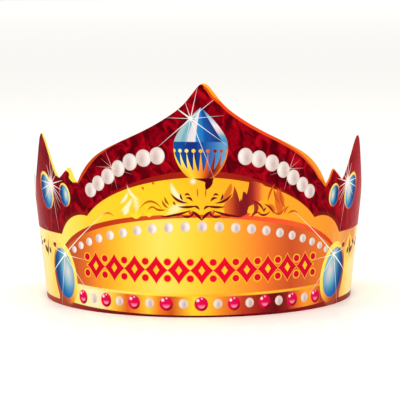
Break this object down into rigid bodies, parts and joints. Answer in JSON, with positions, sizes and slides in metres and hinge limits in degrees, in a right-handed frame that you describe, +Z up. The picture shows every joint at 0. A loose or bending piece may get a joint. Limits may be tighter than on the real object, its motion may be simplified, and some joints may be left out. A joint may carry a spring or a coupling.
{
  "type": "paper crown",
  "caption": "Paper crown: a printed die-cut card strip rolled into a flared ring, with a tall front peak, side spikes and a low strap hooked at the back.",
  "frame": {"origin": "middle of the crown's footprint, on the surface it stands on; the ring's own axis is 4.9 mm behind it", "axes": "+Z up through the crown, the tall front peak faces -Y, +X is the wearer's left"},
  "size_m": [0.2079, 0.2112, 0.1379],
  "materials": {
    "printed_card": "glossy printed card"
  },
  "bodies": {
    "root": {"crown_card": "printed_card"}
  },
  "joints": []
}
